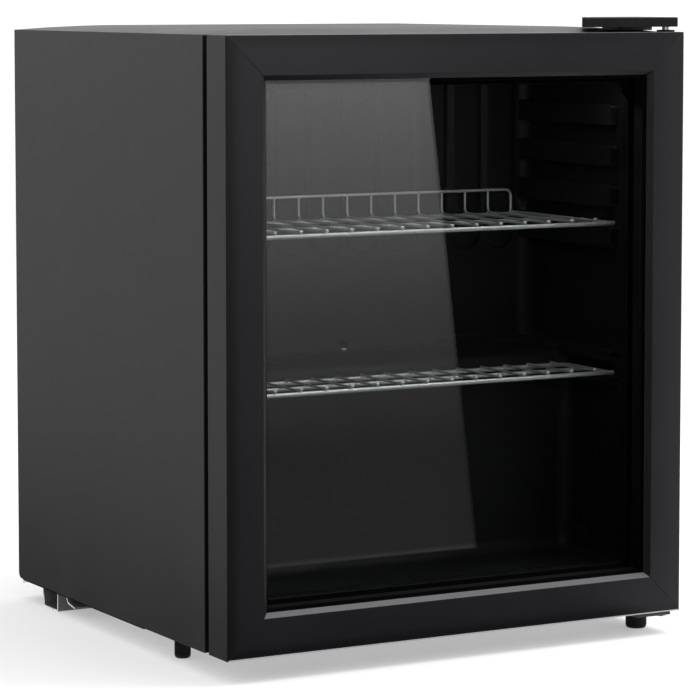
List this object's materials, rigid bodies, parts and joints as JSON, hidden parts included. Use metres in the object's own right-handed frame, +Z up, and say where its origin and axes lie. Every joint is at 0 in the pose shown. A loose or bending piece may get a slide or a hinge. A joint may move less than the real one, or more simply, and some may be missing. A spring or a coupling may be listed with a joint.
{
  "type": "glass door merchandiser",
  "caption": "Compact countertop display cooler: black steel cabinet, hinged glazed door, wire shelves, levelling feet and a rear refrigeration bay.",
  "frame": {"origin": "centre of the footprint box, on the surface the cooler stands on", "axes": "+Z up, -Y out of the glass door, +X towards the hinge side"},
  "size_m": [0.43, 0.4212, 0.5217],
  "materials": {
    "painted_steel": "satin black paint",
    "black_liner": "thermoformed black liner",
    "foam": "rigid polyurethane foam",
    "galvanised_sheet": "galvanised sheet",
    "aluminium_sheet": "mill finish",
    "aluminium_tube": "drawn tube",
    "black_compressor": "gloss black enamel",
    "rubber": "black rubber",
    "zinc_fasteners": "zinc plated",
    "black_plastic": "moulded black plastic",
    "black_coil": "black dipped steel",
    "copper": "copper tube",
    "grey_plastic": "moulded grey plastic",
    "hinge_steel": "black painted steel",
    "door_frame": "satin black extrusion",
    "glass": "clear float glass",
    "magnet": "magnetic strip",
    "wire_chrome": "coated steel wire"
  },
  "bodies": {
    "cabinet": {"outer_shell": "painted_steel", "inner_liner": "black_liner", "evaporator_plate": "aluminium_sheet", "evaporator_tube": "aluminium_tube", "foam_insulation": "foam", "rear_panel": "galvanised_sheet", "bottom_panel": "galvanised_sheet", "base_plate": "galvanised_sheet", "rear_rail": "galvanised_sheet", "compressor": "black_compressor", "compressor_foot_plate": "galvanised_sheet", "compressor_grommets": "rubber", "compressor_studs": "zinc_fasteners", "relay_cover": "black_plastic", "condenser_coil": "black_coil", "condenser_wires": "black_coil", "condenser_brackets": "black_coil", "condenser_outlet": "copper", "filter_drier": "copper", "capillary_tube": "copper", "suction_line": "copper", "discharge_line": "copper", "drip_tray": "grey_plastic", "drain_tube": "grey_plastic", "control_bracket": "galvanised_sheet", "thermostat_body": "black_plastic", "cord_gland": "black_plastic", "upper_hinge_plate": "hinge_steel", "upper_hinge_screws": "zinc_fasteners", "upper_hinge_pin": "zinc_fasteners", "hinge_cover": "black_plastic", "lower_hinge_bracket": "hinge_steel", "lower_hinge_screws": "zinc_fasteners", "lower_hinge_pin": "zinc_fasteners", "rear_panel_screws": "zinc_fasteners", "base_plate_screws": "zinc_fasteners", "left_foot_socket": "black_plastic"},
    "door": {"top_rail": "door_frame", "bottom_rail": "door_frame", "left_stile": "door_frame", "right_stile": "door_frame", "corner_keys": "black_plastic", "upper_hinge_bush": "black_plastic", "lower_hinge_bush": "black_plastic", "outer_glass": "glass", "inner_glass": "glass", "edge_sealant": "rubber", "glass_spacer": "aluminium_sheet", "door_backing_frame": "black_plastic", "door_seal": "rubber", "seal_magnets": "magnet"},
    "upper_shelf": {"upper_shelf": "wire_chrome"},
    "lower_shelf": {"lower_shelf": "wire_chrome"},
    "thermostat_knob": {"thermostat_knob": "black_plastic"},
    "front_left_foot": {"front_left_foot": "black_plastic"},
    "front_right_foot": {"front_right_foot": "black_plastic"}
  },
  "joints": [
    {"name": "door_hinge", "type": "hinge", "parent": "cabinet", "child": "door", "pos_m": [0.2065, -0.1939, 0.2645], "axis": [0, 0, 1], "range_deg": [0, 110]},
    {"name": "upper_shelf_slide", "type": "slide", "parent": "cabinet", "child": "upper_shelf", "axis": [0, -1, 0], "range_m": [0, 0.017]},
    {"name": "lower_shelf_slide", "type": "slide", "parent": "cabinet", "child": "lower_shelf", "axis": [0, -1, 0], "range_m": [0, 0.017]},
    {"name": "thermostat_turn", "type": "hinge", "parent": "cabinet", "child": "thermostat_knob", "pos_m": [0.163, 0.1796, 0.0775], "axis": [0, 1, 0], "range_deg": [0, 300]},
    {"name": "left_foot_screw", "type": "hinge", "parent": "cabinet", "child": "front_left_foot", "pos_m": [-0.197, -0.0924, 0.01], "axis": [0, 0, 1], "continuous": true},
    {"name": "right_foot_screw", "type": "hinge", "parent": "cabinet", "child": "front_right_foot", "pos_m": [0.197, -0.1704, 0.01], "axis": [0, 0, 1], "continuous": true}
  ]
}
